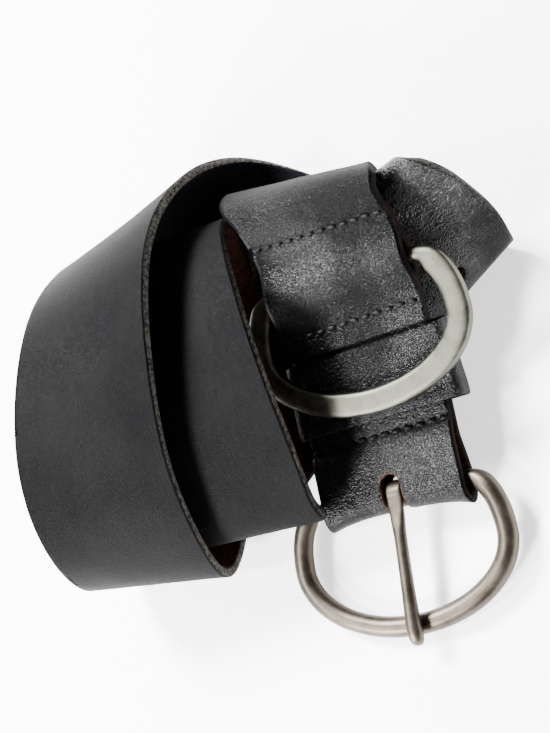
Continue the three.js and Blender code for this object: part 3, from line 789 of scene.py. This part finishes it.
class Socket:
    """A shader value with arithmetic: +, - and * with another value or a plain number add Math
    nodes."""

    def __init__(self, tree, output):
        self.tree = tree
        self.output = output

    def node(self, kind, out=0, settings=(), **inputs):
        """Adds any node: settings are its properties, inputs its sockets by name or _number."""
        made = self.tree.nodes.new(kind)
        for key, value in dict(settings).items():
            setattr(made, key, value)
        for key, value in inputs.items():
            number = key[1:]
            feed(made.inputs[int(number) if number.isdigit() else key.replace("_", " ")], value)
        return Socket(self.tree, made.outputs[out])

    def maths(self, operation, other):
        """Adds a Math node with this value and another one."""
        return self.node("ShaderNodeMath", settings=dict(operation=operation), _0=self, _1=other)

    def __add__(self, other):
        return self.maths("ADD", other)

    __radd__ = __add__

    def __mul__(self, other):
        return self.maths("MULTIPLY", other)

    __rmul__ = __mul__

    def __sub__(self, other):
        return self.maths("SUBTRACT", other)

    def __rsub__(self, other):
        return (self * -1) + other

    def smooth(self, low, high, to_low=0.0, to_high=1.0):
        """Maps low..high smoothly onto to_low..to_high."""
        return self.node("ShaderNodeMapRange", settings=dict(interpolation_type="SMOOTHSTEP"),
                         Value=self, From_Min=low, From_Max=high, To_Min=to_low, To_Max=to_high)

    def mix(self, low, high):
        """Mixes two colours by this value."""
        low, high = (colour if isinstance(colour, Socket) else (*colour, 1)
                     for colour in (low, high))
        return self.node("ShaderNodeMix", out=2, settings=dict(data_type="RGBA"),
                         _0=self, _6=low, _7=high)


def feed(slot, value):
    """Links a shader value to a node's input, or sets the input to a plain value."""
    if isinstance(value, Socket):
        value.tree.links.new(value.output, slot)
    else:
        slot.default_value = value


def new_material(name):
    """A material with a Principled shader, returned with its Object coordinates and shader."""
    material = bpy.data.materials.new(name)
    material.use_nodes = True
    tree = material.node_tree
    shader = next(n for n in tree.nodes if n.type == "BSDF_PRINCIPLED")
    coordinates = tree.nodes.new("ShaderNodeTexCoord")
    return material, Socket(tree, coordinates.outputs["Object"]), shader


def attribute(at, name):
    """The mesh's own numbers of that name."""
    return at.node("ShaderNodeAttribute", out=2, settings=dict(attribute_name=name))


def noise(at, scale, detail, rough=0.5):
    """Cloudy noise that varies about one half."""
    return at.node("ShaderNodeTexNoise", Vector=at, Scale=scale, Detail=detail, Roughness=rough)


def cells(at, scale, feature):
    """Distance from the middle of the nearest of many irregular cells."""
    return at.node("ShaderNodeTexVoronoi", settings=dict(feature=feature), Vector=at, Scale=scale)


def bump(height, strength, distance):
    """A normal tilted as if the surface rose by the height times the distance, in metres."""
    return height.node("ShaderNodeBump", Height=height, Strength=strength, Distance=distance)


def leather_material(name):
    """Black grained leather: warped cells make the pebbles, finer ones the pores, slow noise
    the worn shine. The flesh side is a fibrous red brown; from the outer turn on it is darkened to
    near black with painted shade, for the shadow inside the coil.
    The cut edge is black near the buckle and a worn, speckled grey on the other turns."""
    material, at, shader = new_material(name)
    face = attribute(at, "face")
    rim = attribute(at, "rim")
    along = attribute(at, "along")
    warp = at.node("ShaderNodeTexNoise", out=1, Vector=at, Scale=420.0, Detail=2.0)
    mixed = at.node("ShaderNodeVectorMath", settings=dict(operation="MULTIPLY_ADD"),
                    _0=warp, _1=(0.0016, 0.0016, 0.0016), _2=at)
    pebble = cells(mixed, 1150.0, "SMOOTH_F1")
    pore = cells(mixed, 2300.0, "F1")
    slow = noise(at, 38.0, 3.0)
    wide = noise(at, 13.0, 2.0)
    fine = noise(at, 1500.0, 2.0)
    fibre = noise(at, 900.0, 5.0, 0.65)
    on_grain = face.smooth(0.35, 0.75)
    on_flesh = face.smooth(-0.35, -0.75)
    buckle_end = along.smooth(*SHINE_BUCKLE_END)
    free_end = along.smooth(*SHINE_FREE_END)
    shiny = buckle_end + free_end
    height = (pebble * -0.9 + slow * 0.5) * (0.25 + shiny * 0.75) + pore * -0.6 + fine * 0.5
    grain_colour = slow.smooth(0.35, 0.7).mix(*BLACK_GRAIN)
    red_flesh = fibre.smooth(0.3, 0.75).mix(*RED_FLESH)
    # Painted shade: from the outer turn on, the flesh side is mixed towards near black, for the
    # shadow inside the coil
    shaded_flesh = fibre.smooth(0.3, 0.75).mix(*SHADED_FLESH)
    flesh_colour = along.smooth(*SHADED_FLESH_FROM).mix(red_flesh, shaded_flesh)
    black_edge = fibre.smooth(0.3, 0.7).mix(*BLACK_EDGE)
    worn_edge = fibre.smooth(0.35, 0.65).mix(*WORN_EDGE)
    edge_colour = along.smooth(*WORN_EDGE_FROM).mix(black_edge, worn_edge)
    base = on_flesh.mix(edge_colour, flesh_colour)
    base = on_grain.mix(base, grain_colour)
    base = (rim.smooth(0.25, 0.9) * 0.75).mix(base, BROWN_RIM)
    feed(shader.inputs["Base Color"], base)
    gloss = wide.smooth(0.3, 0.7, 0.27, 0.38) + slow * 0.10 + (1.0 - shiny) * 0.22
    feed(shader.inputs["Roughness"], on_grain * gloss + (1.0 - on_grain) * 0.82)
    relief = on_grain * height + (1.0 - on_grain) * fibre
    grained = bump(relief, strength=0.9, distance=0.00034)
    feed(shader.inputs["Normal"], grained)
    finish = buckle_end * 0.20 + free_end * 0.80
    feed(shader.inputs["Coat Weight"], on_grain * finish * slow.smooth(0.32, 0.62, 0.2, 1.15))
    feed(shader.inputs["Coat Normal"], grained)
    shader.inputs["Coat Roughness"].default_value = 0.27
    shader.inputs["Specular IOR Level"].default_value = 0.038
    return material


def metal_material(name, light, dark, side, rough_low, rough_high, top_matte):
    """Antique nickel: a pale worn face over a darker plating, small casting dents, fine
    scratches, and a brown tint in random spots and over the lower half of the wire, fading out
    towards its top."""
    material, at, shader = new_material(name)
    high = attribute(at, "high")
    patch = noise(at, 150.0, 5.0, 0.7)
    spots = noise(at, 420.0, 3.0)
    grain = noise(at, 1600.0, 3.0)
    stretched = at.node("ShaderNodeMapping", Vector=at, Rotation=(0.3, 0.2, 0.5),
                        Scale=(2600.0, 160.0, 600.0))
    scratch = at.node("ShaderNodeTexNoise", Vector=stretched, Scale=1.0, Detail=2.0)
    tint = patch.smooth(0.25, 0.65).mix(dark, light)
    tint = (spots.smooth(0.6, 0.75) * 0.35).mix(tint, side)
    # Darker and browner from the middle of the wire's height downwards, fading out above it
    tint = (high.smooth(0.55, 0.0) * 0.7).mix(tint, side)
    feed(shader.inputs["Base Color"], tint)
    shader.inputs["Metallic"].default_value = 1.0
    worn = patch.smooth(0.3, 0.7, rough_low, rough_high)
    face_rough = high.smooth(0.5, 0.95) * top_matte
    feed(shader.inputs["Roughness"], worn + face_rough + scratch * 0.06)
    height = patch * 0.35 + grain * 0.12 + scratch * 0.10 + spots * 0.2
    feed(shader.inputs["Normal"], bump(height, strength=0.3, distance=0.00025))
    return material


def thread_material():
    """Black waxed thread with the twist of its plies as slanting ridges."""
    material, at, shader = new_material("black_thread")
    twist = at.node("ShaderNodeTexWave", Vector=at, Scale=420.0, Distortion=1.5,
                    settings=dict(bands_direction="DIAGONAL"))
    feed(shader.inputs["Base Color"], twist.mix(*BLACK_THREAD))
    shader.inputs["Roughness"].default_value = 0.5
    shader.inputs["Specular IOR Level"].default_value = 0.1
    feed(shader.inputs["Normal"], bump(twist, strength=0.5, distance=0.0002))
    return material


leather = leather_material("black_grained_leather")
pale_metal = metal_material(
    "pale_nickel", light=(0.082, 0.084, 0.067), dark=(0.040, 0.039, 0.030),
    side=(0.034, 0.022, 0.012), rough_low=0.30, rough_high=0.44, top_matte=0.12)
warm_metal = metal_material(
    "warm_nickel", light=(0.074, 0.062, 0.050), dark=(0.044, 0.036, 0.028),
    side=(0.034, 0.024, 0.016), rough_low=0.36, rough_high=0.46, top_matte=0.0)
thread = thread_material()

for piece, material, node, slot, body in (
        (strap_piece, leather, "strap", "black_leather", "leather"),
        (tab_piece, leather, "buckle_tab", "black_leather", "leather"),
        (keeper_piece, leather, "keeper_loop", "black_leather", "leather"),
        (stitch_piece, thread, None, "black_leather", "leather"),
        (d_ring_piece, pale_metal, "d_ring", "pale_nickel", "ring"),
        (buckle_piece, warm_metal, "buckle_frame", "warm_nickel", "frame"),
        (prong_piece, warm_metal, "prong", "warm_nickel", "tongue"),
        (prong_loop_piece, warm_metal, "prong", "warm_nickel", "tongue")):
    piece.data.materials.append(material)
    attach(piece, body)
    if node:
        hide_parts(node)


def floor_sheet():
    """A wide flat floor, which glows faintly so that it stays near white round the shadows."""
    left, right, front, back = FLOOR_EDGES
    corners = [(left, front, 0), (right, front, 0), (right, back, 0), (left, back, 0)]
    points = np.array(corners, float) - ORIGIN_SHIFT
    floor = to_mesh("floor", points, [np.array([[0, 1, 2, 3]])], smooth=False)
    material, _, shader = new_material("pale_floor")
    shader.inputs["Base Color"].default_value = (0.92, 0.92, 0.92, 1)
    shader.inputs["Roughness"].default_value = 0.8
    shader.inputs["Emission Color"].default_value = (1, 1, 1, 1)
    shader.inputs["Emission Strength"].default_value = 1.4
    floor.data.materials.append(material)


floor_sheet()


def area_light(name, place, aim, size, power):
    """A square lamp at a place in metres, turned to its aim."""
    data = bpy.data.lights.new(name, "AREA")
    data.energy = power
    data.size = size
    lamp = bpy.data.objects.new(name, data)
    bpy.context.scene.collection.objects.link(lamp)
    lamp.location = place
    lamp.rotation_euler = (Vector(aim) - Vector(place)).to_track_quat("-Z", "Y").to_euler()


area_light("key", (-0.50, 0.54, 0.78), aim=(0, 0, 0.02), size=0.32, power=90.0)
area_light("sparkle", (-0.40, -0.66, 0.54), aim=(0, 0, 0.02), size=0.20, power=30.0)
area_light("low", (-0.42, -0.76, 0.34), aim=(0.03, 0.03, 0.03), size=0.22, power=20.0)
area_light("top", (-0.47, -0.22, 0.78), aim=(0.03, -0.03, 0.01), size=0.12, power=14.0)
world = bpy.data.worlds.new("studio")
bpy.context.scene.world = world
world.use_nodes = True
background = world.node_tree.nodes["Background"]
background.inputs["Color"].default_value = (1, 1, 1, 1)
background.inputs["Strength"].default_value = 0.40

view_back = Vector((0.5, -0.25, 0.829156)).normalized()
view_right = Vector((0.8471, -0.0579, -0.5283)).normalized()
view_up = view_back.cross(view_right).normalized()
view_right = view_up.cross(view_back).normalized()
camera_data = bpy.data.cameras.new("camera")
camera = bpy.data.objects.new("camera", camera_data)
bpy.context.scene.collection.objects.link(camera)
eye = (Vector((0, 0, AIM_HEIGHT)) + view_back * VIEW_DISTANCE + Vector(ORIGIN_SHIFT)) / 1000
camera.matrix_world = Matrix((
    (view_right.x, view_up.x, view_back.x, eye.x),
    (view_right.y, view_up.y, view_back.y, eye.y),
    (view_right.z, view_up.z, view_back.z, eye.z),
    (0, 0, 0, 1)))
camera_data.sensor_fit = "HORIZONTAL"
camera_data.sensor_width = SENSOR_WIDTH
camera_data.lens = SENSOR_WIDTH * FOCAL_LENGTH_IN_PIXELS / PICTURE_WIDTH
camera_data.shift_x = SHIFT_IN_PIXELS[0] / PICTURE_WIDTH
camera_data.shift_y = SHIFT_IN_PIXELS[1] / PICTURE_WIDTH
camera_data.clip_start = 0.01
bpy.context.scene.camera = camera
